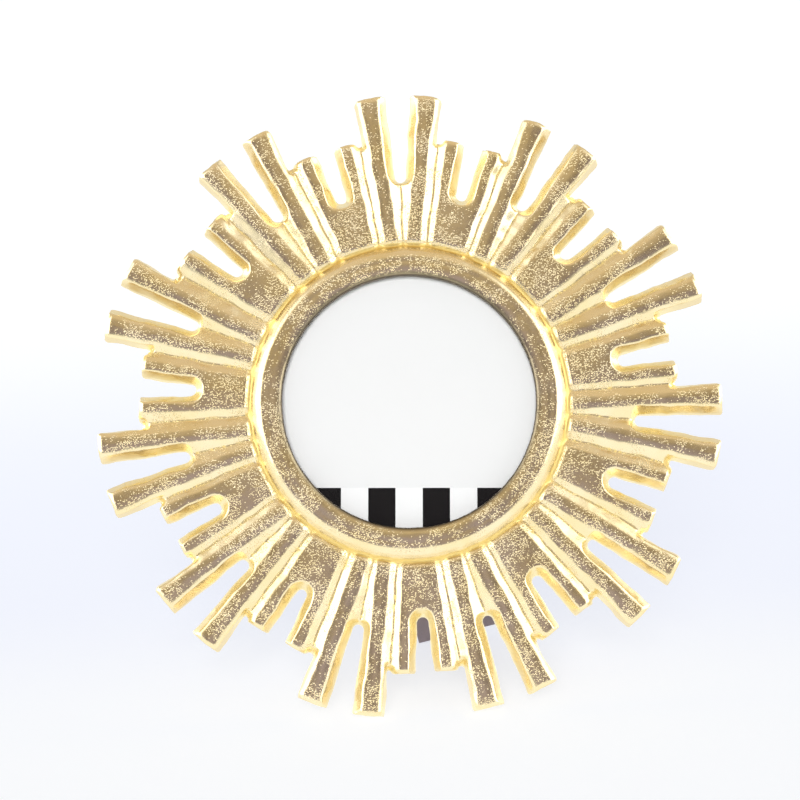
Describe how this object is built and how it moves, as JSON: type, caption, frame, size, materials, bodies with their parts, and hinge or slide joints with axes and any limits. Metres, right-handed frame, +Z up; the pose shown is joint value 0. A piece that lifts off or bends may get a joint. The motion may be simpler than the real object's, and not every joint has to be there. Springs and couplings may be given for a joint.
{
  "type": "picture frame",
  "caption": "Round starburst picture frame: cast ring with paired rays, glazed opening, turn-button back and folding easel leg.",
  "frame": {"origin": "on the floor below the middle of the bounding box", "axes": "+Z up, +X to the right as the picture is seen, +Y from front to back"},
  "size_m": [0.235, 0.1072, 0.2246],
  "materials": {
    "gold_casting": "gold plated sand casting, satin with a fine grain",
    "glass": "clear float glass",
    "card": "matt printed card",
    "fibreboard": "fibreboard under charcoal paper",
    "steel": "zinc plated pressed steel"
  },
  "bodies": {
    "frame": {"starburst_frame": "gold_casting", "glass_pane": "glass", "picture_card": "card", "back_board": "fibreboard", "easel_head": "fibreboard", "hinge_head_leaf": "steel", "hinge_pin": "steel", "head_rivet_left": "steel", "head_rivet_right": "steel", "turn_screw_1": "steel", "turn_screw_2": "steel", "turn_screw_3": "steel", "turn_screw_4": "steel"},
    "leg": {"easel_leg": "fibreboard", "hinge_leg_leaf": "steel", "leg_rivet_left": "steel", "leg_rivet_right": "steel"},
    "button_1": {"turn_button_1": "steel"},
    "button_2": {"turn_button_2": "steel"},
    "button_3": {"turn_button_3": "steel"},
    "button_4": {"turn_button_4": "steel"}
  },
  "joints": [
    {"name": "leg_fold", "type": "hinge", "parent": "frame", "child": "leg", "pos_m": [-0.00504, 0.00095, 0.13381], "axis": [-0.9816, -0.059, -0.1815], "range_deg": [0, 39.5]},
    {"name": "turn_button_1_swing", "type": "hinge", "parent": "frame", "child": "button_1", "pos_m": [0.03917, 0.00119, 0.14816], "axis": [0, -0.9511, 0.309], "continuous": true},
    {"name": "turn_button_2_swing", "type": "hinge", "parent": "frame", "child": "button_2", "pos_m": [0.03917, -0.02306, 0.07351], "axis": [0, -0.9511, 0.309], "continuous": true},
    {"name": "turn_button_3_swing", "type": "hinge", "parent": "frame", "child": "button_3", "pos_m": [-0.03932, -0.02306, 0.07351], "axis": [0, -0.9511, 0.309], "continuous": true},
    {"name": "turn_button_4_swing", "type": "hinge", "parent": "frame", "child": "button_4", "pos_m": [-0.03932, 0.00119, 0.14816], "axis": [0, -0.9511, 0.309], "continuous": true}
  ]
}
